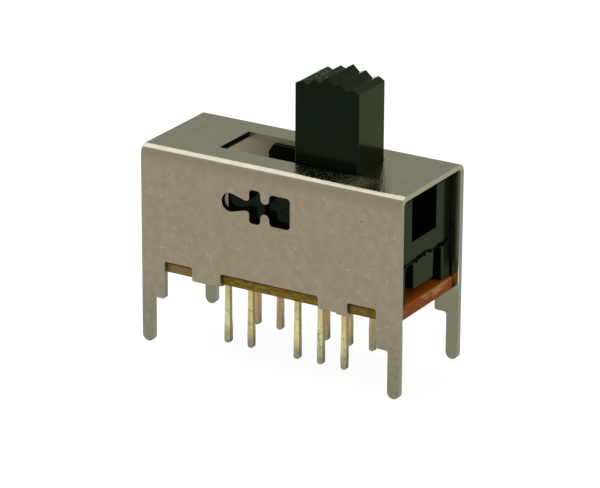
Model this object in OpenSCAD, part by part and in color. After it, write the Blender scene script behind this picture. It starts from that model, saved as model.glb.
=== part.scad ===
// Two-row four-position slide switch for a circuit board.
// Origin: middle of the footprint on the face of the circuit board, where the leg shoulders rest.
// X runs along the travel, -Y is the wall with the detent cut-out, +Z is up. Millimetres.

/* [Frame] */
// Length of the folded frame
frame_len = 22; // [21.6:0.1:24]
// Width over the two long walls
frame_wid = 9.2; // [9:0.1:10]
// Height of the top face above the circuit board
frame_h = 11.8; // [11.6:0.1:12.6]
// Sheet thickness
sheet_t = 0.45; // [0.4:0.05:0.5]
// Outer radius of the two folds
bend_r = 0.75; // [0.6:0.05:1]

/* [Legs] */
// Width of a leg above its shoulder
leg_wide = 2; // [1.8:0.1:2.2]
// Width of a leg below its shoulder
leg_wid = 1; // [0.8:0.05:1.1]
// Length of a leg below its shoulder
leg_len = 3.65; // [3.5:0.05:4.5]
// Radius at the shoulder, outside corner and inside corner
leg_fillet = 0.2; // [0.1:0.05:0.4]
// Radius in the upper corners of the openings between legs and tabs
notch_r = 0.2; // [0.1:0.05:0.3]

/* [Clinched tabs] */
// Distance from the middle to the middle of a tab
tab_x = 5.38; // [5:0.1:6]
// Width of a tab
tab_wid = 2.45; // [1.5:0.05:2.6]
// Length of the lip bent in under the baseboard
tab_lip = 0.25; // [0.15:0.05:0.6]
// Thickness to which the lip is pressed
lip_t = 0.2; // [0.2:0.05:0.4]
// Angle of the lip from the wall
tab_angle = 75; // [30:1:80]

/* [Detent cut-out] */
// Depth of its centreline below the top face
detent_drop = 3; // [2.8:0.05:3.2]
// Place of the middle lobe along the frame
detent_x = -1.18; // [-1.4:0.02:-1]
// Distance between lobes
detent_pitch = 2.1; // [2.06:0.02:2.2]
// Radius of the round end lobe
bulb_r = 0.72; // [0.6:0.02:0.8]
// Width of the middle lobe
mid_lobe_wid = 0.95; // [0.85:0.05:1]
// Height of the middle lobe
mid_lobe_h = 2.6; // [2.3:0.05:2.8]
// Corner radius of the middle lobe
mid_lobe_r = 0.28; // [0.1:0.02:0.4]
// Width of the square lobe
square_lobe_wid = 1.75; // [1.5:0.05:1.8]
// Height of the square lobe
square_lobe_h = 2.42; // [2.2:0.02:2.6]
// Corner radius of the square lobe
square_lobe_r = 0.3; // [0.1:0.05:0.5]
// Height of the necks between lobes
neck_h = 0.8; // [0.6:0.05:0.9]
// Radius where the first neck opens into the middle lobe
neck_r = 0.25; // [0.1:0.05:0.3]

/* [Baseboard] */
// Board thickness
board_t = 1; // [0.8:0.1:1.2]
// Height of its underside above the circuit board
board_rise = 2; // [1.9:0.05:2.1]
// Distance from the frame's ends to the board's ends
board_end_gap = 0.5; // [0.2:0.05:0.8]
// Gap to each long wall
board_side_gap = 0.05; // [0.02:0.01:0.1]

/* [Terminals] */
// Distance between neighbouring terminal places
pitch = 2; // [1.9:0.05:2.1]
// Distance between the two rows
row_gap = 4.15; // [4:0.05:4.3]
// Pin width along the row
pin_wid = 0.45; // [0.4:0.05:0.55]
// Pin thickness across the row
pin_t = 0.4; // [0.3:0.05:0.5]
// Pin length below the circuit board's face
pin_len = 3.45; // [3:0.05:3.6]
// Thickness of a contact head
head_t = 0.3; // [0.2:0.05:0.35]
// Gap between neighbouring heads
head_space = 0.5; // [0.4:0.05:0.7]
// Head width across the row
head_wid = 1; // [0.8:0.05:1.05]
// Gap around a pin in its board hole
hole_gap = 0.02; // [0.01:0.01:0.05]

/* [Slider] */
// Length of the slider
slider_len = 14.2; // [13.6:0.1:14.3]
// Gap between the slider and each long wall
slider_side_gap = 0.15; // [0.15:0.05:0.3]
// Gap between the slider and the sheet above it
slider_top_gap = 0.05; // [0.03:0.01:0.15]
// Gap between the slider's outer legs and the baseboard
slider_foot_gap = 0.1; // [0.05:0.05:0.2]
// Width of the cored pockets beside the knob
pocket_wid = 3.6; // [3.2:0.1:3.7]
// Depth of the cored pockets
pocket_depth = 3.8; // [3.2:0.1:4]
// Width of a contact channel
channel_wid = 1.15; // [1.1:0.05:1.25]
// Height of a contact channel
channel_h = 2.95; // [2.8:0.05:3.1]
// Height of the middle block above the outer legs' feet
block_rise = 0.7; // [0.5:0.05:0.9]
// Lead-in chamfer on the slider's upright outer edges
edge_chamfer = 0.1; // [0.1:0.05:0.5]
// Length of the bevel on the upper corners of the side walls
wall_bevel_len = 0.4; // [0.2:0.01:0.7]
// Drop of that bevel
wall_bevel_drop = 0.6; // [0.3:0.05:1.1]

/* [Detent arms] */
// Length of each arm from its root
arm_len = 3.4; // [2.8:0.1:3.4]
// Height of an arm
arm_h = 2.7; // [1.4:0.1:2.8]
// Thickness of an arm
arm_t = 0.6; // [0.5:0.05:0.7]
// Width of the slots around an arm
arm_slot = 0.4; // [0.3:0.05:0.5]
// Radius of a detent bump
bump_r = 0.36; // [0.3:0.02:0.4]
// Radius of the flat on a bump's tip
bump_tip_r = 0.2; // [0.1:0.02:0.28]
// Gap between a bump and the wall
bump_gap = 0.06; // [0.04:0.01:0.1]

/* [Knob] */
// Knob length along the travel
knob_len = 5.3; // [4.8:0.1:5.4]
// Knob width
knob_wid = 3.8; // [3.3:0.05:3.9]
// Knob height above the frame to the edges of its crown
knob_h = 6.05; // [4:0.05:8]
// Rise of the crown's middle ridge above its edges
crown_rise = 0.82; // [0.7:0.02:1]
// Ridges on the crown
ridges = 5; // [3:2:7]
// Fall of each ridge from the one nearer the middle
ridge_fall = 0.27; // [0.1:0.01:0.34]
// Depth of the valleys between ridges
valley = 0.26; // [0.1:0.02:0.3]
// Radius of the knob's upright edges
knob_edge_r = 0.1; // [0.05:0.01:0.3]
// Gap between the knob and the window's long edges
knob_side_gap = 0.15; // [0.1:0.01:0.35]
// Travel past the outer contact places, each way
over_travel = 0.15; // [0.05:0.05:0.25]
// Gap left between the knob and the window at the stops
stop_gap = 0.03; // [0.03:0.01:0.1]
// Offset of the window from the middle of the frame
window_shift = 0.05; // [-0.1:0.01:0.1]

/* [Contact clips] */
// Strip thickness
clip_t = 0.2; // [0.15:0.01:0.25]
// Strip width
clip_wid = 0.8; // [0.6:0.05:0.9]
// Outer radius of a contact foot
foot_r = 0.45; // [0.35:0.05:0.5]
// Height of the turned-up tail beyond a foot
tail_h = 0.5; // [0.2:0.05:0.8]
// Gap between a foot and the contact heads
contact_gap = 0.04; // [0.03:0.01:0.08]
// Depth of the seat for the clip in the channel's roof
seat_depth = 0.35; // [0.25:0.05:0.45]
// Play of the clip in its seat
seat_gap = 0.02; // [0.01:0.01:0.04]

/* [Hidden] */
$fn = 48;
eps = 0.01;
throw_x = [-2.5 * pitch, -1.5 * pitch, 1.5 * pitch, 2.5 * pitch];
common_x = pitch / 2;
last_stop = throw_x[3] - pitch;
row_y = row_gap / 2;
wall_in = frame_wid / 2 - sheet_t;
sheet_under = frame_h - sheet_t;
fold_in = bend_r - sheet_t;
board_top = board_rise + board_t;
board_wid = 2 * (wall_in - board_side_gap);
head_len = pitch - head_space;
travel = 2 * (last_stop + over_travel);
slider_x = window_shift + travel / 2;
window_len = knob_len + travel + 2 * stop_gap;
window_wid = knob_wid + 2 * knob_side_gap;
slider_wid = 2 * (wall_in - slider_side_gap);
slider_top = sheet_under - slider_top_gap;
slider_bottom = board_top + slider_foot_gap;
channel_roof = slider_bottom + channel_h;
channel_in = row_y - channel_wid / 2;
seat_roof = channel_roof + seat_depth;
seat_half = pitch - foot_r;
detent_z = frame_h - detent_drop;
bulb_x = detent_x - detent_pitch;
square_lobe_x = detent_x + detent_pitch;
bump_a = square_lobe_x - last_stop;
bump_b = bump_a + 2 * pitch;
arm_root = (bump_a + bump_b) / 2;
arm_face = slider_wid / 2;
crown_z = frame_h + knob_h;
ridge_pitch = knob_len / ridges;
clip_top = seat_roof - seat_gap;
foot_low = board_top + head_t + contact_gap;

// Box centred on X and Y, standing on z
module block(size, z) {
    translate([-size[0] / 2, -size[1] / 2, z])
        cube(size);
}

// Flat outline in X and Z, thickened from y_low to y_high
module upright(y_low, y_high) {
    translate([0, y_high, 0])
        rotate([90, 0, 0])
            linear_extrude(y_high - y_low)
                children();
}

// Flat outline in Y and Z, run along X from x_low to x_high
module along(x_low, x_high) {
    translate([x_low, 0, 0])
        rotate([90, 0, 90])
            linear_extrude(x_high - x_low)
                children();
}

// Rectangle with four round corners
module round_rect(wid, h, r) {
    square([wid - 2 * r, h], center = true);
    square([wid, h - 2 * r], center = true);
    for (sx = [-1, 1], sz = [-1, 1])
        translate([sx * (wid / 2 - r), sz * (h / 2 - r)])
            circle(r);
}

// Arch-shaped solid section: flat top with two round upper corners
module arch(wid, top, low, r) {
    translate([-wid / 2 + r, low])
        square([wid - 2 * r, top - low]);
    translate([-wid / 2, low])
        square([wid, top - r - low]);
    for (side = [-1, 1])
        translate([side * (wid / 2 - r), top - r])
            circle(r);
}

// Fillet in the corner at the origin, between a side at +X and one above
module corner_fillet(r) {
    difference() {
        translate([-r, -r])
            square(r + eps);
        translate([-r, -r])
            circle(r);
    }
}

// Outline of one leg, at the +X end
module leg_outline() {
    inner = frame_len / 2 - leg_wide;
    narrow = frame_len / 2 - leg_wid;
    tip = leg_wid / 2;
    translate([inner + leg_fillet, 0])
        square([leg_wide - leg_fillet, board_top]);
    translate([inner, leg_fillet])
        square([leg_wide, board_top - leg_fillet]);
    translate([inner + leg_fillet, leg_fillet])
        circle(leg_fillet);
    translate([narrow, tip - leg_len])
        square([leg_wid, leg_len]);
    translate([frame_len / 2 - tip, tip - leg_len])
        circle(tip);
    translate([narrow, 0])
        corner_fillet(leg_fillet);
    translate([inner, board_top])
        corner_fillet(notch_r);
}

// Outline of one tab, at the +X end
module tab_outline() {
    translate([tab_x - tab_wid / 2, board_rise - board_side_gap])
        square([tab_wid, board_t + 2 * board_side_gap]);
    for (side = [0, 1])
        translate([tab_x, board_top])
            mirror([side, 0])
                translate([-tab_wid / 2, 0])
                    corner_fillet(notch_r);
}

// Outline shared by both long walls
module wall_outline() {
    translate([-frame_len / 2, board_top])
        square([frame_len, frame_h - board_top]);
    for (side = [0, 1])
        mirror([side, 0]) {
            leg_outline();
            tab_outline();
        }
}

// Section of a clinched lip, turned in from the foot of the front wall
module lip_section() {
    reach = 2 * lip_t;
    translate([-wall_in, board_rise - board_side_gap]) {
        rotate(tab_angle)
            translate([-lip_t, -tab_lip])
                square([lip_t, tab_lip]);
        intersection() {
            circle(lip_t);
            polygon([
                [0, 0], [-reach, 0], [-reach, -reach],
                [-cos(tab_angle) * reach, -sin(tab_angle) * reach]
            ]);
        }
    }
}

// Lobed outline of the detent cut-out
module detent_outline() {
    lobe_left = detent_x - mid_lobe_wid / 2;
    lobe_right = detent_x + mid_lobe_wid / 2;
    tooth_wid = square_lobe_x - square_lobe_wid / 2 - lobe_right;
    tooth_z = neck_h / 2 + tooth_wid / 2;
    neck_x = lobe_left - bulb_r / 2;
    neck = [neck_x - bulb_x, neck_h / 2];
    touch = atan2(neck[1], neck[0]) + acos(bulb_r / norm(neck));
    touch_x = bulb_x + bulb_r * cos(touch);
    touch_z = bulb_r * sin(touch);
    translate([bulb_x, 0])
        circle(bulb_r);
    polygon([
        [touch_x, touch_z], [neck_x, neck_h / 2], [detent_x, neck_h / 2],
        [detent_x, -neck_h / 2], [neck_x, -neck_h / 2], [touch_x, -touch_z]
    ]);
    for (side = [0, 1])
        mirror([0, side])
            translate([lobe_left, -neck_h / 2])
                corner_fillet(neck_r);
    translate([detent_x, 0])
        round_rect(mid_lobe_wid, mid_lobe_h, mid_lobe_r);
    translate([square_lobe_x, 0])
        round_rect(square_lobe_wid, square_lobe_h, square_lobe_r);
    difference() {
        translate([lobe_right - eps, -tooth_z])
            square([tooth_wid + 2 * eps, 2 * tooth_z]);
        for (side = [-1, 1])
            translate([lobe_right + tooth_wid / 2, side * tooth_z])
                circle(tooth_wid / 2);
    }
}

module frame() {
    color([0.58, 0.56, 0.5]) {
        difference() {
            intersection() {
                along(-frame_len / 2, frame_len / 2)
                    difference() {
                        arch(frame_wid, frame_h, -leg_len, bend_r);
                        arch(2 * wall_in, sheet_under, -leg_len - eps, fold_in);
                    }
                upright(-frame_wid / 2, frame_wid / 2)
                    wall_outline();
            }
            translate([window_shift, 0, 0])
                block([window_len, window_wid, sheet_t + 2 * eps], sheet_under - eps);
            upright(-frame_wid / 2 - eps, -wall_in + eps)
                translate([0, detent_z])
                    detent_outline();
        }
        for (side = [0, 1], end = [-1, 1])
            mirror([0, side, 0])
                along(end * tab_x - tab_wid / 2, end * tab_x + tab_wid / 2)
                    lip_section();
    }
}

module baseboard() {
    color([0.48, 0.22, 0.08])
        difference() {
            block([frame_len - 2 * board_end_gap, board_wid, board_t], board_rise);
            for (x = concat(throw_x, common_x), row = [-1, 1])
                translate([x, row * row_y, 0])
                    block([pin_wid + 2 * hole_gap, pin_t + 2 * hole_gap, board_t + 2 * eps], board_rise - eps);
        }
}

// Stamped terminal: a head of the given length on the board and a pin through it
module terminal(pin_x, head_x, len, row) {
    color([0.8, 0.7, 0.45])
        translate([0, row * row_y, 0]) {
            translate([head_x, 0, 0])
                block([len, head_wid, head_t], board_top);
            upright(-pin_t / 2, pin_t / 2)
                translate([pin_x, 0]) {
                    translate([-pin_wid / 2, pin_wid / 2 - pin_len])
                        square([pin_wid, pin_len - pin_wid / 2 + board_top + head_t / 2]);
                    translate([0, pin_wid / 2 - pin_len])
                        circle(pin_wid / 2);
                }
        }
}

module throw_terminal(x, row) {
    terminal(x, x, head_len, row);
}

module common_terminal(row) {
    terminal(common_x, 0, pitch + head_len, row);
}

// Side outline of the knob with its serrated crown
module knob_outline() {
    top = [for (i = [0 : ridges - 1]) each [
        [(i - ridges / 2) * ridge_pitch, valley_z(i)],
        [(i - ridges / 2 + 0.5) * ridge_pitch, peak_z(i)]
    ]];
    polygon(concat(
        [[-knob_len / 2, slider_top - eps]],
        top,
        [[knob_len / 2, crown_z], [knob_len / 2, slider_top - eps]]
    ));
}

function peak_z(i) = crown_z + crown_rise - ridge_fall * abs(i - (ridges - 1) / 2);

function valley_z(i) = i == 0 ? crown_z : (peak_z(i - 1) + peak_z(i)) / 2 - valley;

// Knob with round upright edges, standing on the slider
module knob() {
    intersection() {
        upright(-knob_wid / 2, knob_wid / 2)
            knob_outline();
        translate([0, 0, slider_top - eps])
            linear_extrude(crown_z + crown_rise - slider_top + 2 * eps)
                round_rect(knob_len, knob_wid, knob_edge_r);
    }
}

// Slots that free the two detent arms from the front of the slider
module arm_slots() {
    upright(-arm_face - eps, -arm_face + arm_t + arm_slot)
        translate([arm_root, detent_z])
            for (side = [-1, 1])
                translate([0, side * (arm_h + arm_slot) / 2])
                    square([2 * arm_len, arm_slot], center = true);
    upright(-arm_face + arm_t, -arm_face + arm_t + arm_slot)
        translate([arm_root, detent_z])
            for (side = [-1, 1])
                translate([side * (arm_len + arm_slot * 2) / 2, 0])
                    square([arm_len - arm_slot * 2, arm_h + arm_slot], center = true);
    upright(-arm_face - eps, -arm_face + arm_t + arm_slot)
        translate([arm_root, detent_z])
            for (side = [-1, 1])
                translate([side * (arm_len + arm_slot / 2), 0])
                    square([arm_slot, arm_h + 2 * arm_slot], center = true);
}

// Chamfers along the slider's upper long edges, clear of the inside of the frame's folds
module fold_cuts() {
    for (side = [-1, 1])
        along(-slider_len / 2 - eps, slider_len / 2 + eps)
            translate([side * slider_wid / 2, slider_top])
                rotate(45)
                    square(fold_in * sqrt(2), center = true);
}

// Bevels on the slider's ends, at +X
module end_cuts() {
    end = slider_len / 2;
    across = edge_chamfer * sqrt(2);
    for (side = [-1, 1])
        translate([end, side * slider_wid / 2, slider_bottom - eps])
            rotate(45)
                block([across, across, slider_top - slider_bottom + 2 * eps], 0);
    upright(-slider_wid / 2 - eps, slider_wid / 2 + eps)
        polygon([
            [end + eps, slider_top - wall_bevel_drop], [end + eps, slider_top + eps],
            [end - wall_bevel_len, slider_top + eps]
        ]);
}

module slider() {
    pocket_len = (slider_len - knob_len) / 2;
    color([0.07, 0.08, 0.07])
        translate([slider_x, 0, 0]) {
            difference() {
                block([slider_len, slider_wid, slider_top - slider_bottom], slider_bottom);
                for (side = [-1, 1])
                    translate([side * (knob_len + pocket_len + eps) / 2, 0, 0])
                        block([pocket_len + eps, pocket_wid, pocket_depth + eps], slider_top - pocket_depth);
                block([slider_len + 2 * eps, 2 * channel_in + eps, block_rise + eps], slider_bottom - eps);
                for (row = [-1, 1])
                    translate([0, row * row_y, 0]) {
                        block([slider_len + 2 * eps, channel_wid, channel_h + eps], slider_bottom - eps);
                        block([2 * (seat_half + seat_gap), channel_wid, seat_depth + eps], channel_roof - eps);
                    }
                arm_slots();
                fold_cuts();
                for (side = [0, 1])
                    mirror([side, 0, 0])
                        end_cuts();
            }
            knob();
            for (x = [bump_a, bump_b])
                translate([x, -arm_face, detent_z])
                    rotate([90, 0, 0])
                        cylinder(h = slider_side_gap - bump_gap, r1 = bump_r, r2 = bump_tip_r);
        }
}

// Side outline of a contact clip about the slider's middle
module clip_outline() {
    foot_z = foot_low + foot_r;
    translate([-seat_half, clip_top - clip_t])
        square([2 * seat_half, clip_t]);
    for (side = [0, 1])
        mirror([side, 0]) {
            translate([seat_half - clip_t, foot_z])
                square([clip_t, clip_top - foot_z]);
            translate([pitch - clip_t / 2, foot_z])
                difference() {
                    circle(foot_r);
                    circle(foot_r - clip_t);
                    translate([-foot_r - eps, 0])
                        square([2 * (foot_r + eps), foot_r + eps]);
                }
            translate([pitch - clip_t / 2 + foot_r - clip_t, foot_z])
                square([clip_t, tail_h]);
        }
}

module contact_clip(row) {
    color([0.82, 0.72, 0.42])
        translate([slider_x, row * row_y, 0])
            upright(-clip_wid / 2, clip_wid / 2)
                clip_outline();
}

frame();
baseboard();
throw_terminal(throw_x[0], -1);  // front_throw_terminal_1
throw_terminal(throw_x[1], -1);  // front_throw_terminal_2
throw_terminal(throw_x[2], -1);  // front_throw_terminal_3
throw_terminal(throw_x[3], -1);  // front_throw_terminal_4
common_terminal(-1);  // front_common_terminal
throw_terminal(throw_x[0], 1);  // rear_throw_terminal_1
throw_terminal(throw_x[1], 1);  // rear_throw_terminal_2
throw_terminal(throw_x[2], 1);  // rear_throw_terminal_3
throw_terminal(throw_x[3], 1);  // rear_throw_terminal_4
common_terminal(1);  // rear_common_terminal
slider();
contact_clip(-1);  // front_contact_clip
contact_clip(1);  // rear_contact_clip
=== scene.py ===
"""Looks of a two-row slide switch: plated frame, black moulded slider, laminate board, plated pins."""

import math

import bmesh
import bpy
from mathutils import Matrix, Vector, noise


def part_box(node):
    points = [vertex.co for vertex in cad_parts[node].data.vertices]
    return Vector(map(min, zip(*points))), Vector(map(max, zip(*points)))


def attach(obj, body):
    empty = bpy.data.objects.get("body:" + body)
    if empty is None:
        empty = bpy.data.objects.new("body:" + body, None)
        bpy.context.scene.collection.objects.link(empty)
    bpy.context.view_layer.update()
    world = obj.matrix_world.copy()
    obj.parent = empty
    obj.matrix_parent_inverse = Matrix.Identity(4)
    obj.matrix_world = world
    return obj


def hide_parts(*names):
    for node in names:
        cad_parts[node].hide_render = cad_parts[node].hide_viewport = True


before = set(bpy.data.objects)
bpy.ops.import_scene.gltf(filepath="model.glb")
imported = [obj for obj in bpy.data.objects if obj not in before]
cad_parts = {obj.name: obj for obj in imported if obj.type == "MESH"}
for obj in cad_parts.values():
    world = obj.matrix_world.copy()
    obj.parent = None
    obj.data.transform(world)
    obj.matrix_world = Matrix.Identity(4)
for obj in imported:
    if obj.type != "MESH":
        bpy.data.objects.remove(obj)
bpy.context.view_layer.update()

MM = 0.001

# The photograph's view, measured against the object's corners.
IMAGE_WIDTH = 600
VIEW_TURN = math.radians(30.84)
VIEW_RISE = math.radians(21.10)
VIEW_ROLL = math.radians(0.29)
VIEW_DISTANCE = 267.56 * MM
VIEW_NEAREST = 10 * MM
VIEW_FOCAL_PIXELS = 3634.6
VIEW_TARGET = Vector((-0.088, 0, 4.687)) * MM

# The white studio: the floor's reach from its middle in metres, and levels of light as shares of white.
FLOOR_REACH = 1.5
FLOOR_FILL = 0.8
FLOOR_SHADE = 0.13
FLOOR_GLOW = 0.92
SURROUND_FILL = 0.75
SURROUND_SEEN = 1.0

# Joining, creases and rounding of all pieces.
MERGE = 0.0005 * MM
FLAT_ANGLE = math.radians(0.5)
CREASE_ANGLE = math.radians(32)
EDGE_STEPS = 2
ROLL_STEPS = 4

# Widths of the rounded edges, in millimetres.
FRAME_ROLL = 0.1
FRAME_EDGE = 0.04
SLIDER_END_EDGE = 0.12
SLIDER_EDGE = 0.05
BOARD_CHIP = 0.14
BOARD_EDGE = 0.025
PIN_EDGE = 0.08
CLIP_EDGE = 0.03

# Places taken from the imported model, in metres.
FRAME_LOW, FRAME_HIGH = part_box("frame")
BOARD_LOW, BOARD_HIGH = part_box("baseboard")
SLIDER_LOW, SLIDER_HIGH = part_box("slider")
FLOOR = FRAME_LOW.z
TERMINALS = sorted(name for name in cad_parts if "terminal" in name)
CLIPS = sorted(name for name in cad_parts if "clip" in name)

# Heights in metres: of the detent opening, the slider's contact channels and the foot of the crown.
DETENT_LOW = BOARD_HIGH.z * 1.5
DETENT_HIGH = FRAME_HIGH.z * 0.9
CHANNEL_ROOF = 6.2 * MM
CROWN = SLIDER_HIGH.z - 1.5 * MM

# Places in millimetres, for the materials.
SHEET_THICKNESS = 0.45
SHEET_TOP = FRAME_HIGH.z / MM
SHEET_UNDER = SHEET_TOP - SHEET_THICKNESS
FRAME_END = FRAME_HIGH.x / MM
BOARD_TOP = BOARD_HIGH.z / MM
BOARD_END = BOARD_HIGH.x / MM
BOARD_SIDE = BOARD_HIGH.y / MM
RIM_SKIN = 0.04

# Shares of the frame's half sizes: what holds its openings, and where its long walls begin.
OPENING_SHARE = 0.6
WALL_SHARE = 0.85

# Limits for the share of a face's normal that lies along an axis.
ASIDE = 0.1
RIDGE_RISE = 0.2
SHEARED = 0.3
FACING = 0.5
SQUARE = 0.9
FLATTER_RISE = 0.93

# Finishes of the frame, the slider and the pins, in the order of their materials.
PLATE, CUT, PUNCHED, INSIDE = range(4)
POLISHED, DULL, WORN = range(3)
PIN_FACE, PIN_SIDE = range(2)

# The clinched tabs: their reach, the steps that the press left in millimetres, and how far it went.
TAB_REACH = 7.5 * MM
TAB_STEPS = (-5.15, 5.5, 5.8)
TAB_TAPER = 1.0 * MM
TAB_LIFT = 0.18 * MM
LIP_START = 4.34 * MM
LIP_FOOT = BOARD_LOW.z - 0.05 * MM
LIP_FLATNESS = 0.85

# The strip of plating in front of the knob: where it fades in and out, in millimetres.
STRIP_LEFT = (-0.6, 0.8)
STRIP_RIGHT = (6.6, 8.4)
STRIP_REAR = (-2.4, -1.6)

# The knob's crown, and the fin of moulding flash in millimetres.
# Each wave of the flash has a height, a rate and a place in the noise.
VALLEY_DEPTH = 0.08 * MM
FLASH_LENGTH = 7.3
FLASH_LEVEL = 6.08
FLASH_THICKNESS = 0.07
FLASH_STEPS = 90
FLASH_ROOT = 0.02
FLASH_LEAST = 0.02
FLASH_REACH = 0.17
FLASH_TEAR = 0.3
FLASH_DROOP = 0.4
RAGGED_WAVES = ((1.0, 1.1, 3.7), (0.6, 3.3, 8.2))
WANDER_WAVES = ((0.16, 0.7, 1.3), (0.07, 2.6, 5.1))

# Solder on the pins: the swelling's shape, and the heights in millimetres where its grey fades out.
SOLDER_TOP = 0.4 * MM
SOLDER_RINGS = 9
SOLDER_GROWTH = 0.14
SOLDER_SPREAD = 1.6
SOLDER_RATE = 0.9
SOLDER_UNEVEN = 0.7
SOLDER_FADE = (-2.4, -0.2)
SOLDER_WAVER = 2.2


class Wire:
    """A socket in a node tree. Arithmetic on wires adds Math nodes."""

    def __init__(self, tree, socket=None):
        self.tree = tree
        self.socket = socket

    def node(self, kind, settings=None, sockets=None, out=0):
        """Add a node, set it up, then give its sockets values or links."""
        made = self.tree.nodes.new("ShaderNode" + kind)
        for name, value in (settings or {}).items():
            setattr(made, name, value)
        for key, value in (sockets or {}).items():
            if isinstance(value, Wire):
                self.tree.links.new(value.socket, made.inputs[key])
            else:
                made.inputs[key].default_value = value
        return Wire(self.tree, made.outputs[out] if made.outputs else None)

    def maths(self, operation, first, second=0.0):
        return self.node("Math", {"operation": operation}, {0: first, 1: second})

    def __add__(self, other):
        return self.maths("ADD", self, other)

    __radd__ = __add__

    def __sub__(self, other):
        return self.maths("SUBTRACT", self, other)

    def __rsub__(self, other):
        return self.maths("SUBTRACT", other, self)

    def __mul__(self, other):
        return self.maths("MULTIPLY", self, other)

    def __gt__(self, other):
        return self.maths("GREATER_THAN", self, other)

    def __abs__(self):
        return self.maths("ABSOLUTE", self)

    def highest(self, other):
        return self.maths("MAXIMUM", self, other)

    def ramp(self, low, high):
        """0 below low, 1 above high, smooth between."""
        settings = {"interpolation_type": "SMOOTHSTEP"}
        return self.node("MapRange", settings, {"Value": self, "From Min": low, "From Max": high})

    def band(self, rise, fall):
        """1 between a soft rise and a soft fall, each a pair of values, and 0 outside."""
        return self.ramp(*rise) * (1 - self.ramp(*fall))

    def tint(self, low, high):
        """Mix two colours, or wires of colour, by this value."""
        return self.node("Mix", {"data_type": "RGBA"}, {0: self, 6: low, 7: high}, out=2)

    def millimetres(self, stretch=(1, 1, 1)):
        """Object coordinates in millimetres, stretched along each axis."""
        place = self.node("TexCoord", out="Object")
        scale = [factor / MM for factor in stretch]
        return self.node("Mapping", {}, {"Vector": place, "Scale": scale})

    def axis(self, name):
        return self.node("SeparateXYZ", {}, {0: self}, out=name)

    def grain(self, per_mm, detail=2.0, rough=0.5):
        """Soft noise from 0 to 1, with about that many blotches to the millimetre."""
        sockets = {"Vector": self, "Scale": per_mm, "Detail": detail, "Roughness": rough}
        return self.node("TexNoise", {"normalize": True}, sockets)

    def relief(self, depth):
        """Normal of a surface whose height is this value times a depth in millimetres."""
        return self.node("Bump", {}, {"Height": self, "Strength": 1.0, "Distance": depth * MM})

    def surface(self, sockets):
        return self.node("BsdfPrincipled", {}, sockets)


def colour(red, green, blue):
    return (red, green, blue, 1.0)


def grey_level(level):
    return colour(level, level, level)


def finish_named(name, shader_of):
    """A material whose surface is the shader that the given function builds."""
    material = bpy.data.materials.new(name)
    material.use_nodes = True
    material.node_tree.nodes.clear()
    start = Wire(material.node_tree)
    start.node("OutputMaterial", {}, {"Surface": shader_of(start)})
    return material


def plated_sheet(start):
    """Dull nickel plate: warm grey clouded pink and yellow, with a few bright marks and dark pits.

    The legs are painted greyer and darker towards their tips, as painted shade. The top is finely
    pebbled, with a ledge where it starts to bend; it is painted a little darker and warmer, as painted
    shade, and in front of the knob, where the knob is mirrored, it is specked rougher in a painted darker
    golden-green.
    """
    place = start.millimetres()
    along = place.axis("X")
    height = place.axis("Z")
    haze = place.grain(1.5, detail=3, rough=0.55)
    cast = place.grain(0.95, detail=3, rough=0.55).ramp(0.36, 0.64)
    pebble = place.grain(7, detail=2)
    tone = haze.ramp(0.3, 0.7)
    pink = tone.tint(colour(0.256, 0.215, 0.156), colour(0.298, 0.240, 0.169))
    yellow = tone.tint(colour(0.254, 0.219, 0.146), colour(0.292, 0.249, 0.155))
    curl = 1 - abs(place.grain(1.7, detail=1) - 0.5).ramp(0.0, 0.035)
    mark = curl * place.grain(0.9, detail=2).ramp(0.56, 0.66)
    fleck = start.millimetres((1, 1, 1.3)).grain(3.1, detail=1).ramp(0.70, 0.78)
    pit = start.millimetres((1, 1, 1.2)).grain(2.4, detail=1).ramp(0.72, 0.79)
    # Painted shade: a greyer, darker band on the front just below the bend's highlight.
    fold_shade = height.band((SHEET_TOP - 1.4, SHEET_TOP - 0.6), (SHEET_TOP - 0.3, SHEET_TOP - 0.08))
    plate = (fold_shade * 0.5).tint(cast.tint(pink, yellow), colour(0.205, 0.190, 0.136))
    below = 1 - height.ramp(SHEET_TOP - 1.1, SHEET_TOP - 0.8)
    bright = (mark.highest(fleck) * below * 0.55).tint(plate, colour(0.42, 0.36, 0.25))
    worn = (pit * below).tint(bright, colour(0.13, 0.11, 0.07))
    # Painted shade: the legs are greyer and darker towards their tips.
    dipped = tone.tint(colour(0.192, 0.180, 0.122), colour(0.242, 0.228, 0.160))
    leg_tip_shade = 1 - height.ramp(-2.2, 3.2)
    upper = height.ramp(SHEET_TOP - 0.06, SHEET_TOP - 0.005)
    in_front = 1 - place.axis("Y").ramp(*STRIP_REAR)
    knob_mirror_strip = along.band(STRIP_LEFT, STRIP_RIGHT) * in_front
    # Rough specks where the knob is mirrored, more towards the right; their darker golden-green is
    # painted, holding down the lamp light they scatter and tinting their glints.
    speck = (pebble + along.ramp(3.4, 6.4) * 0.16).ramp(0.52, 0.65) * upper * knob_mirror_strip
    # Painted shade: the top face is painted a little darker and warmer than the front.
    top_painted_darker = (upper * 0.4).tint(worn, colour(0.254, 0.205, 0.114))
    speck_painted_colour = (speck * 0.7).tint(top_painted_darker, colour(0.166, 0.178, 0.080))
    return start.surface({
        "Base Color": leg_tip_shade.tint(speck_painted_colour, dipped),
        "Metallic": 1.0,
        "Roughness": 0.16 + speck * 0.3,
        "Specular Tint": colour(0.46, 0.565, 0.59),
        "Normal": (haze * 0.05 + (pebble * 0.5 + 0.25) * upper).relief(0.05),
    })


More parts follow.
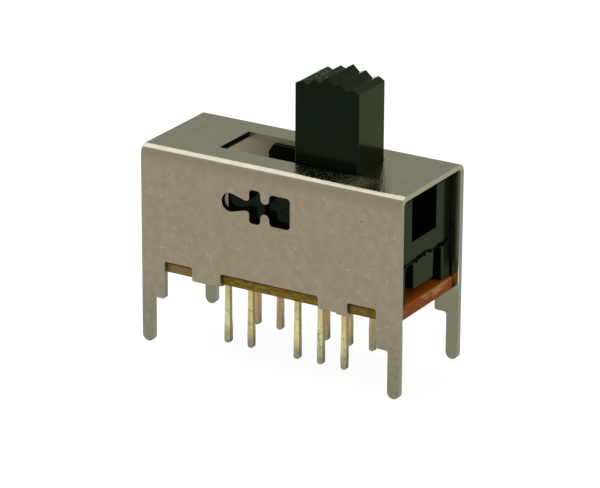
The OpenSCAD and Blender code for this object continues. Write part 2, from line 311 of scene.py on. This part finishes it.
def sheet_inside(start):
    """Inner face of the sheet: duller and greyer, with painted shade behind the slider's ends and painted
    light near the open cut ends.

    Beside the ends of the board it is painted bright, painted light in which the board's ends show.
    """
    place = start.millimetres()
    height = place.axis("Z")
    reach = abs(place.axis("X"))
    tone = place.grain(1.5, detail=3)
    lift = height.ramp(3.2, 5.2)
    # Painted light: lighter and rougher near the open ends, where light comes in from outside.
    lit_end = reach.ramp(FRAME_END - 0.5, FRAME_END - 0.05) * height.ramp(1.5, 3.0)
    # Painted shade: darker behind the slider's ends.
    shaded = reach.ramp(FRAME_END - 0.85, FRAME_END - 0.6) * lift
    beside_board = height.band((BOARD_TOP - 0.8, BOARD_TOP - 0.3), (BOARD_TOP + 0.4, BOARD_TOP + 1.2))
    # Painted light: a bright patch beside the ends of the board, in which the board shows.
    board_lit_patch = reach.ramp(FRAME_END - 0.8, FRAME_END - 0.5) * beside_board
    grey = tone.tint(colour(0.172, 0.170, 0.112), colour(0.228, 0.224, 0.152))
    warm = tone.tint(colour(0.230, 0.208, 0.132), colour(0.320, 0.283, 0.192))
    plate = (shaded * 0.75).tint(height.ramp(5.0, 8.5).tint(grey, warm), colour(0.02, 0.028, 0.0))
    with_lit_ends = lit_end.tint(plate, colour(0.33, 0.365, 0.215))
    return start.surface({
        "Base Color": board_lit_patch.tint(with_lit_ends, colour(0.60, 0.62, 0.41)),
        "Metallic": 1.0,
        "Roughness": 0.14 + lift * 0.2 + tone * 0.12 + lit_end * lift * 0.4,
    })


def sheared_edge(start):
    """Cut edge of the sheet: uncoated metal, fine shear lines, cooler at the rear, painted highlight at
    the top.
    """
    line = start.millimetres((9, 9, 2)).grain(1.2, detail=3)
    place = start.millimetres()
    rear = place.axis("Y").ramp(-4, 4)
    # Painted highlight: the cut ends of the top sheet are paler.
    top = place.axis("Z").ramp(SHEET_TOP - 0.6, SHEET_TOP - 0.4)
    warm = line.tint(colour(0.25, 0.238, 0.157), colour(0.36, 0.342, 0.24))
    cool = line.tint(colour(0.235, 0.24, 0.187), colour(0.335, 0.345, 0.28))
    pale = line.tint(colour(0.31, 0.30, 0.20), colour(0.43, 0.415, 0.29))
    return start.surface({
        "Base Color": top.tint(rear.tint(warm, cool), pale),
        "Metallic": 1.0,
        "Roughness": 0.38 + line * 0.14,
        "Specular Tint": colour(0.6, 0.62, 0.62),
        "Normal": line.relief(0.01),
    })


def punched_edge(start):
    """Wall of a punched opening: torn, painted shade almost black, burnished along the window's lower
    edge.
    """
    tear = start.millimetres((6, 6, 3)).grain(1.0, detail=3)
    height = start.millimetres().axis("Z")
    burnished = (height > SHEET_UNDER - 0.1) * (1 - height.ramp(SHEET_UNDER + 0.02, SHEET_UNDER + 0.14))
    # Painted shade: the torn wall is painted almost black.
    torn = tear.tint(colour(0.006, 0.007, 0.003), colour(0.05, 0.045, 0.025))
    return start.surface({
        "Base Color": burnished.tint(torn, colour(0.24, 0.22, 0.15)),
        "Metallic": 1.0,
        "Roughness": 0.45 + tear * 0.2,
        "Specular Tint": grey_level(0.2),
        "Normal": tear.relief(0.01),
    })


def black_moulding(start, shine=0.056, edge_shine=(0.90, 1.0, 0.68), wear=0.0):
    """Plastic filled with carbon black: green-black, its shine tinted by the filler, slightly uneven."""
    place = start.millimetres()
    wave = place.grain(0.8, detail=2)
    pit = place.grain(9, detail=2)
    rub = start.millimetres((1, 0.5, 1)).grain(4.5, detail=3).ramp(0.48, 0.72)
    plain = wave.tint(colour(0.0055, 0.0100, 0.0050), colour(0.0073, 0.0128, 0.0068))
    return start.surface({
        "Base Color": (rub * wear).tint(plain, colour(0.125, 0.125, 0.088)),
        "Metallic": 0.65,
        "Roughness": 0.11 + pit * 0.08,
        "Specular IOR Level": shine,
        "Specular Tint": colour(*edge_shine),
        "Normal": (wave * 0.6 + pit * 0.4).relief(0.002),
    })


def dull_shaded_moulding(start):
    """The same plastic with a weaker, darker shine, as painted shade: the slider's body and the crown's
    ridges.
    """
    # Painted shade: a weaker, darker shine than the knob's faces.
    return black_moulding(start, shine=0.047, edge_shine=(0.75, 0.80, 0.62))


def worn_moulding(start):
    """The dull plastic with pale specks, where fingers rub the flatter sides and tops of the ridges."""
    return black_moulding(start, shine=0.044, edge_shine=(0.70, 0.75, 0.58), wear=0.5)


def paper_laminate(start):
    """Red-brown phenolic paper board: orange glossy face, olive-gold sides, patchy torn ends."""
    place = start.millimetres()
    height = place.axis("Z")
    at_end = abs(place.axis("X")) > BOARD_END - RIM_SKIN
    at_side = abs(place.axis("Y")) > BOARD_SIDE - RIM_SKIN
    punched = at_end.highest(at_side)
    cloud = place.grain(0.9, detail=3)
    fibre = start.millimetres((2, 2, 5)).grain(1.0, detail=4, rough=0.65)
    streak = start.millimetres((1, 0.6, 1.6)).grain(1.2, detail=3)
    patch = (streak + height * 0.26 + place.axis("Y") * 0.015).ramp(1.14, 1.38)
    face = cloud.tint(colour(0.22, 0.046, 0.004), colour(0.46, 0.115, 0.010))
    gold = fibre.ramp(0.3, 0.7).tint(colour(0.130, 0.080, 0.009), colour(0.275, 0.180, 0.026))
    # Painted light: the board's sides are paler towards the left end.
    left = 1 - place.axis("X").ramp(-8.2, -5.6)
    side = (left * 0.6).tint(gold, colour(0.30, 0.20, 0.085))
    shade = height.ramp(BOARD_TOP - 0.42, BOARD_TOP - 0.28)
    shaded_side = (shade * 0.7).tint(side, colour(0.075, 0.047, 0.006))
    torn = patch.tint(colour(0.235, 0.054, 0.006), colour(0.34, 0.19, 0.06))
    return start.surface({
        "Base Color": at_end.tint(at_side.tint(face, shaded_side), torn),
        "Roughness": 0.35 + punched * 0.4,
        "Specular IOR Level": 0.12,
        "Normal": (fibre * punched).relief(0.03),
    })


def solder_share(height, cloud):
    """1 at the tip of a pin, which was dipped in solder, fading out unevenly upwards."""
    return 1 - (height + cloud * SOLDER_WAVER).ramp(*SOLDER_FADE)


def plated_pin(start):
    """Pale gold over brass, spotted; warmer by the board at the right and pink to olive in the rear row,
    both painted reflections of the board.
    """
    place = start.millimetres()
    along = place.axis("X")
    height = place.axis("Z")
    cloud = place.grain(2.2, detail=3)
    streak = start.millimetres((3.5, 3.5, 0.35)).grain(1.0, detail=2)
    bands = streak.ramp(0.3, 0.7)
    # Painted reflection: front pins turn orange towards the board and to the right.
    board_reflection = (height + streak * 2.0 + along.ramp(1.6, 5.0) * 1.6).ramp(1.5, 3.6)
    spot = place.grain(3.2, detail=3).ramp(0.52, 0.66)
    pale = bands.tint(colour(0.46, 0.42, 0.18), colour(0.69, 0.65, 0.335))
    front = (spot * 0.6).tint(pale, colour(0.22, 0.185, 0.10))
    # Painted reflection: the rear row is tinted pink by the board, olive further right.
    pink = bands.tint(colour(0.40, 0.225, 0.115), colour(0.60, 0.385, 0.215))
    olive = bands.tint(colour(0.30, 0.24, 0.12), colour(0.48, 0.39, 0.22))
    rear = along.ramp(3.4, 5.2).tint(pink, olive)
    warm = (place.axis("Y") > 0).tint(board_reflection.tint(front, colour(0.62, 0.38, 0.18)), rear)
    grey = cloud.tint(colour(0.17, 0.16, 0.105), colour(0.36, 0.345, 0.25))
    return start.surface({
        "Base Color": solder_share(height, cloud).tint(warm, grey),
        "Metallic": 1.0,
        "Roughness": 0.24 + cloud * 0.16,
        "Normal": place.grain(5, detail=2).relief(0.012),
    })


def shaded_pin_side(start):
    """Cut side of a pin: uncoated brass painted a darker brown as painted shade, grey towards the end."""
    place = start.millimetres()
    cloud = place.grain(2.4, detail=3)
    # Painted shade: the pin's sides are a darker brown.
    brown = cloud.tint(colour(0.25, 0.20, 0.085), colour(0.46, 0.39, 0.18))
    return start.surface({
        "Base Color": solder_share(place.axis("Z"), cloud).tint(brown, colour(0.18, 0.155, 0.105)),
        "Metallic": 1.0,
        "Roughness": 0.32 + cloud * 0.16,
        "Specular Tint": grey_level(0.5),
        "Normal": place.grain(5, detail=2).relief(0.012),
    })


def spring_bronze(start):
    """Rolled spring bronze, slightly streaked along the strip."""
    streak = start.millimetres((1, 8, 8)).grain(0.8, detail=3)
    return start.surface({
        "Base Color": streak.tint(colour(0.48, 0.30, 0.11), colour(0.62, 0.42, 0.18)),
        "Metallic": 1.0,
        "Roughness": 0.25 + streak * 0.15,
    })


def merged_copy(node):
    """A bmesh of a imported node's surface, with its loose triangles joined into whole faces."""
    shape = bmesh.new()
    shape.from_mesh(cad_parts[node].data)
    bmesh.ops.remove_doubles(shape, verts=shape.verts, dist=MERGE)
    bmesh.ops.dissolve_limit(shape, angle_limit=FLAT_ANGLE, verts=shape.verts, edges=shape.edges)
    return shape


def whole(shape):
    return shape.verts[:] + shape.edges[:] + shape.faces[:]


def cut_level(shape, level):
    """Cut through all faces at a height, so that what lies below can be bent or tinted by itself."""
    bmesh.ops.bisect_plane(
        shape, geom=whole(shape), dist=MERGE, plane_co=(0, 0, level), plane_no=(0, 0, 1))


def soften_edges(shape, width, chosen=lambda edge: True, steps=EDGE_STEPS):
    """Round the chosen creases by a small width in millimetres."""
    creases = [
        edge for edge in shape.edges
        if edge.is_manifold and edge.calc_face_angle() > CREASE_ANGLE and chosen(edge)]
    bmesh.ops.bevel(
        shape, geom=creases, offset=width * MM, offset_type="OFFSET", affect="EDGES",
        segments=steps, profile=0.5, material=-1, clamp_overlap=True)


def piece_from(shape, name, body, materials):
    """Turn a bmesh into a smooth-shaded piece that rides on a body."""
    for edge in shape.edges:
        edge.smooth = not edge.is_manifold or edge.calc_face_angle() < CREASE_ANGLE
    mesh = bpy.data.meshes.new(name)
    shape.to_mesh(mesh)
    shape.free()
    mesh.shade_smooth()
    for material in materials:
        mesh.materials.append(material)
    piece = bpy.data.objects.new(name, mesh)
    bpy.context.scene.collection.objects.link(piece)
    steady = piece.modifiers.new("steady_flats", "WEIGHTED_NORMAL")
    steady.keep_sharp = True
    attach(piece, body)
    return piece


def is_window_face(face):
    """True for the four cut faces of the knob's window in the top of the frame."""
    middle = face.calc_center_median()
    central_x = abs(middle.x) < FRAME_HIGH.x * OPENING_SHARE
    central_y = abs(middle.y) < FRAME_HIGH.y * OPENING_SHARE
    return central_x and central_y and middle.z > BOARD_HIGH.z and abs(face.normal.z) < FACING


def is_detent_face(face):
    """True for the cut faces of the lobed opening in the front wall."""
    middle = face.calc_center_median()
    in_wall = middle.y < FRAME_LOW.y * WALL_SHARE and abs(middle.x) < FRAME_HIGH.x * OPENING_SHARE
    return in_wall and DETENT_LOW < middle.z < DETENT_HIGH and abs(face.normal.y) < ASIDE


def is_punched_face(face):
    """True for a torn face: those of the lobed opening, and the two ends of the window."""
    return is_detent_face(face) or (is_window_face(face) and abs(face.normal.x) > FACING)


def is_cut_face(face):
    """True for a face of the frame that a press tool cut."""
    across = abs(face.normal.x) > SHEARED
    below = abs(face.normal.z) > FACING and face.calc_center_median().z < BOARD_HIGH.z
    return across or below or is_window_face(face)


def is_inner_face(face):
    """True for a face of the sheet that looks towards the middle of the frame."""
    middle = face.calc_center_median()
    inward = Vector((0, -middle.y, (FRAME_LOW.z + FRAME_HIGH.z) / 2 - middle.z))
    return abs(face.normal.x) < ASIDE and face.normal.dot(inward) > 0


def frame_finish(face):
    """The finish of a face of the frame."""
    if is_punched_face(face):
        return PUNCHED
    if is_cut_face(face):
        return CUT
    return INSIDE if is_inner_face(face) else PLATE


def rolls_over(edge):
    """True for an inner edge of the frame's two open ends, where the cut rolled the sheet over."""
    at_end = all(
        abs(vert.co.x) > FRAME_HIGH.x - MERGE and vert.co.z > BOARD_LOW.z - MERGE for vert in edge.verts)
    return at_end and any(is_inner_face(face) for face in edge.link_faces)


def stays_soft(edge):
    """True for an edge of the frame away from its openings, whose edges are sharp."""
    return not any(is_window_face(face) or is_detent_face(face) for face in edge.link_faces)


def tab_faces(shape):
    """The faces at the feet of the clinched tabs, below the board."""
    middles = ((face, face.calc_center_median()) for face in shape.faces)
    return [face for face, middle in middles if middle.z < BOARD_LOW.z and abs(middle.x) < TAB_REACH]


def verts_of(faces):
    """The corners of the faces, each once and in a fixed order."""
    return list(dict.fromkeys(vert for face in faces for vert in face.verts))


def pressed_share(across):
    """Share of the full press at a place along the frame: each tab's inner part was pressed flat."""
    left_step, low_step, high_step = (step * MM for step in TAB_STEPS)
    if across < 0:
        share = (across - left_step) / TAB_TAPER
    else:
        share = (high_step - across) / (high_step - low_step)
    return min(1, max(0, share))


def press_tabs(shape):
    """Lift the inner part of the tabs' edges and flatten the lips behind them."""
    for step in TAB_STEPS:
        faces = tab_faces(shape)
        edges = list(dict.fromkeys(edge for face in faces for edge in face.edges))
        bmesh.ops.bisect_plane(
            shape, geom=verts_of(faces) + edges + faces, dist=MERGE,
            plane_co=(step * MM, 0, 0), plane_no=(1, 0, 0))
    for vert in verts_of(tab_faces(shape)):
        share = pressed_share(vert.co.x)
        if abs(vert.co.y) > LIP_START:
            vert.co.z += TAB_LIFT * share
        elif vert.co.z < LIP_FOOT:
            vert.co.z = LIP_FOOT - (LIP_FOOT - vert.co.z) * (1 - LIP_FLATNESS * share)


def folded_frame(plate, cut_edge, punched, inside):
    """The frame with its four finishes, its rolled ends and its pressed tabs."""
    shape = merged_copy("frame")
    for face in shape.faces:
        face.material_index = frame_finish(face)
    cut_level(shape, BOARD_LOW.z)
    soften_edges(shape, FRAME_ROLL, rolls_over, ROLL_STEPS)
    soften_edges(shape, FRAME_EDGE, stays_soft)
    press_tabs(shape)
    piece = piece_from(
        shape, "plated_frame", "housing", [plate, cut_edge, punched, inside])
    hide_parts("frame")


def ends_low(edge):
    """True for an upright lower edge of the slider's two ends, worn rounder in the mould."""
    first, second = (vert.co for vert in edge.verts)
    at_end = min(abs(first.x - SLIDER_LOW.x), abs(first.x - SLIDER_HIGH.x)) < MERGE
    upright = abs(first.x - second.x) < MERGE and abs(first.y - second.y) < MERGE
    return at_end and upright and (first.z + second.z) / 2 < CHANNEL_ROOF


def deepen_valleys(shape):
    """Sink the valleys between the ridges of the knob's crown."""
    valleys = [
        edge for edge in shape.edges
        if edge.is_manifold and not edge.is_convex and min(vert.co.z for vert in edge.verts) > CROWN]
    for vert in {vert for edge in valleys for vert in edge.verts}:
        vert.co.z -= VALLEY_DEPTH


def is_dull_face(face):
    """True for a face of the slider's body, or of the ridges on its knob's crown."""
    level = face.calc_center_median().z
    return level < FRAME_HIGH.z or (level > CROWN and face.normal.z > RIDGE_RISE)


def is_rubbed_face(face):
    """True for the flatter side of a ridge on the knob's crown, and for its rounded top."""
    return face.calc_center_median().z > CROWN and face.normal.z > FLATTER_RISE


def moulded_slider(plastic, dull_shaded_plastic, worn_plastic):
    """The slider with its knob, duller on the body and worn on the crown."""
    shape = merged_copy("slider")
    for face in shape.faces:
        face.material_index = DULL if is_dull_face(face) else POLISHED
    deepen_valleys(shape)
    soften_edges(shape, SLIDER_END_EDGE, ends_low, ROLL_STEPS)
    soften_edges(shape, SLIDER_EDGE)
    for face in filter(is_rubbed_face, shape.faces):
        face.material_index = WORN
    piece = piece_from(
        shape, "moulded_slider", "slider", [plastic, dull_shaded_plastic, worn_plastic])
    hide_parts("slider")


def uneven_line(along, waves):
    """Height of an uneven line at a place along it, as a sum of waves of noise."""
    return sum(height * noise.noise(Vector((along * rate, place, 0))) for height, rate, place in waves)


def moulding_flash(plastic):
    """Ragged fin of flash across the slider's end, at the roof of the contact channels."""
    shape = bmesh.new()
    bmesh.ops.create_grid(shape, x_segments=2, y_segments=FLASH_STEPS, size=0.5)
    for vert in shape.verts:
        outward = vert.co.x + 0.5
        along = vert.co.y * FLASH_LENGTH
        out = outward * max(FLASH_LEAST, FLASH_REACH + FLASH_TEAR * uneven_line(along, RAGGED_WAVES))
        level = FLASH_LEVEL + uneven_line(along, WANDER_WAVES) - FLASH_DROOP * out
        vert.co = Vector((SLIDER_HIGH.x / MM + out - FLASH_ROOT, along, level)) * MM
    bmesh.ops.solidify(shape, geom=whole(shape), thickness=FLASH_THICKNESS * MM)
    bmesh.ops.recalc_face_normals(shape, faces=shape.faces)
    piece_from(shape, "moulding_flash", "slider", [plastic])


def chips_off(edge):
    """True for the upper edge of either end of the board, where the punch broke it away."""
    return all(
        abs(vert.co.x) > BOARD_HIGH.x - MERGE and vert.co.z > BOARD_HIGH.z - MERGE for vert in edge.verts)


def laminate_board(laminate):
    """The board, with the upper edges of its ends broken."""
    shape = merged_copy("baseboard")
    soften_edges(shape, BOARD_CHIP, chips_off)
    soften_edges(shape, BOARD_EDGE)
    piece = piece_from(shape, "laminate_board", "housing", [laminate])
    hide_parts("baseboard")


def swell_end(shape, tip):
    """Fatten the lower end of a pin unevenly, down to its tip in metres, as if dipped in solder."""
    for step in range(1, SOLDER_RINGS):
        cut_level(shape, SOLDER_TOP + (tip - SOLDER_TOP) * step / SOLDER_RINGS)
    low = [vert for vert in shape.verts if vert.co.z < SOLDER_TOP]
    axis = sum((vert.co for vert in low), Vector()) / len(low)
    for vert in low:
        share = min(1, (SOLDER_TOP - vert.co.z) / (SOLDER_TOP - tip) * SOLDER_SPREAD)
        uneven = noise.noise(Vector((axis.x, axis.y, vert.co.z)) / MM * SOLDER_RATE)
        growth = 1 + SOLDER_GROWTH * share * (1 + SOLDER_UNEVEN * uneven)
        vert.co.x = axis.x + (vert.co.x - axis.x) * growth
        vert.co.y = axis.y + (vert.co.y - axis.y) * growth


def stamped_terminal(node, metal, side_metal):
    """A terminal with its cut sides and its solder-dipped end."""
    low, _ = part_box(node)
    shape = merged_copy(node)
    for face in shape.faces:
        face.material_index = PIN_SIDE if abs(face.normal.x) > SQUARE else PIN_FACE
    swell_end(shape, low.z)
    soften_edges(shape, PIN_EDGE)
    piece = piece_from(shape, "plated_" + node, "housing", [metal, side_metal])
    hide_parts(node)


def bent_clip(node, metal):
    """A sprung contact clip in the slider."""
    shape = merged_copy(node)
    soften_edges(shape, CLIP_EDGE)
    piece = piece_from(shape, "bent_" + node, "slider", [metal])
    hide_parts(node)


def seen_directly(start):
    """1 for rays from the eye, from a mirror or through glass, and 0 for light that only fills."""
    eye = start.node("LightPath", out="Is Camera Ray")
    mirror = start.node("LightPath", out="Is Glossy Ray")
    glass = start.node("LightPath", out="Is Transmission Ray")
    return eye.highest(mirror).highest(glass)


def floor_shader(start):
    """Plain pale paint to the light that fills, and a faint shadow on glowing white to the eye."""
    fill = start.node("BsdfDiffuse", {}, {"Color": grey_level(FLOOR_FILL)})
    shade = start.node("BsdfDiffuse", {}, {"Color": grey_level(FLOOR_SHADE)})
    white = start.node("Emission", {}, {"Color": grey_level(1), "Strength": FLOOR_GLOW})
    shown = start.node("AddShader", {}, {0: shade, 1: white})
    return start.node("MixShader", {}, {0: seen_directly(start), 1: fill, 2: shown})


def pale_floor():
    """A wide pale floor under the legs, near white to the eye but still taking a soft shadow."""
    shape = bmesh.new()
    bmesh.ops.create_grid(shape, x_segments=1, y_segments=1, size=FLOOR_REACH)
    bmesh.ops.translate(shape, verts=shape.verts, vec=(0, 0, FLOOR))
    mesh = bpy.data.meshes.new("floor")
    shape.to_mesh(mesh)
    shape.free()
    floor = bpy.data.objects.new("floor", mesh)
    bpy.context.scene.collection.objects.link(floor)
    mesh.materials.append(finish_named("floor_white", floor_shader))


def white_surround():
    """White all round to the eye and in reflections, and a plain level of light from every side."""
    world = bpy.data.worlds.new("white_surround")
    bpy.context.scene.world = world
    world.use_nodes = True
    world.node_tree.nodes.clear()
    start = Wire(world.node_tree)
    fill = start.node("Background", {}, {"Color": grey_level(1), "Strength": SURROUND_FILL})
    white = start.node("Background", {}, {"Color": grey_level(1), "Strength": SURROUND_SEEN})
    both = start.node("MixShader", {}, {0: seen_directly(start), 1: fill, 2: white})
    start.node("OutputWorld", {}, {"Surface": both})


def soft_lamp(name, direction, distance, length, width, watts, tone):
    """A soft lamp that looks at the object from a direction, its length along the object."""
    lamp = bpy.data.lights.new(name, "AREA")
    lamp.shape = "RECTANGLE"
    lamp.size = length * MM
    lamp.size_y = width * MM
    lamp.energy = watts
    lamp.color = tone
    holder = bpy.data.objects.new(name, lamp)
    bpy.context.scene.collection.objects.link(holder)
    away = Vector(direction).normalized()
    along = (Vector((1, 0, 0)) - away * away.x).normalized()
    turn = Matrix((along, away.cross(along), away)).transposed()
    holder.matrix_world = Matrix.Translation(VIEW_TARGET + away * distance * MM) @ turn.to_4x4()


def photograph_camera():
    """The photograph's camera: turned, raised and slightly rolled about the middle of the object."""
    turn_cos, turn_sin = math.cos(VIEW_TURN), math.sin(VIEW_TURN)
    rise_cos, rise_sin = math.cos(VIEW_RISE), math.sin(VIEW_RISE)
    ahead = Vector((-turn_sin * rise_cos, turn_cos * rise_cos, -rise_sin))
    right = Vector((turn_cos, turn_sin, 0))
    up = right.cross(ahead)
    rolled_right = right * math.cos(VIEW_ROLL) + up * math.sin(VIEW_ROLL)
    rolled_up = up * math.cos(VIEW_ROLL) - right * math.sin(VIEW_ROLL)
    turn = Matrix((rolled_right, rolled_up, -ahead)).transposed()
    lens = bpy.data.cameras.new("photograph_view")
    lens.sensor_fit = "HORIZONTAL"
    lens.lens = VIEW_FOCAL_PIXELS / IMAGE_WIDTH * lens.sensor_width
    lens.clip_start = VIEW_NEAREST
    camera = bpy.data.objects.new("photograph_view", lens)
    bpy.context.scene.collection.objects.link(camera)
    camera.matrix_world = Matrix.Translation(VIEW_TARGET - ahead * VIEW_DISTANCE) @ turn.to_4x4()
    bpy.context.scene.camera = camera


photograph_camera()
white_surround()
pale_floor()
soft_lamp(
    "overhead_softbox", direction=(-0.48, 0.22, 0.85), distance=260, length=280, width=255,
    watts=0.50, tone=(0.86, 1.0, 1.22))

folded_frame(
    finish_named("plated_sheet", plated_sheet),
    finish_named("sheared_edge", sheared_edge),
    finish_named("punched_edge", punched_edge),
    finish_named("sheet_inside", sheet_inside))
dull_shaded_plastic = finish_named("dull_shaded_moulding", dull_shaded_moulding)
moulded_slider(
    finish_named("black_moulding", black_moulding),
    dull_shaded_plastic,
    finish_named("worn_moulding", worn_moulding))
moulding_flash(dull_shaded_plastic)
laminate_board(finish_named("paper_laminate", paper_laminate))
pin_metal = finish_named("plated_pin", plated_pin)
shaded_pin_side_metal = finish_named("shaded_pin_side", shaded_pin_side)
for terminal in TERMINALS:
    stamped_terminal(terminal, pin_metal, shaded_pin_side_metal)
clip_metal = finish_named("spring_bronze", spring_bronze)
for clip in CLIPS:
    bent_clip(clip, clip_metal)

bpy.context.scene.view_settings.view_transform = "Standard"
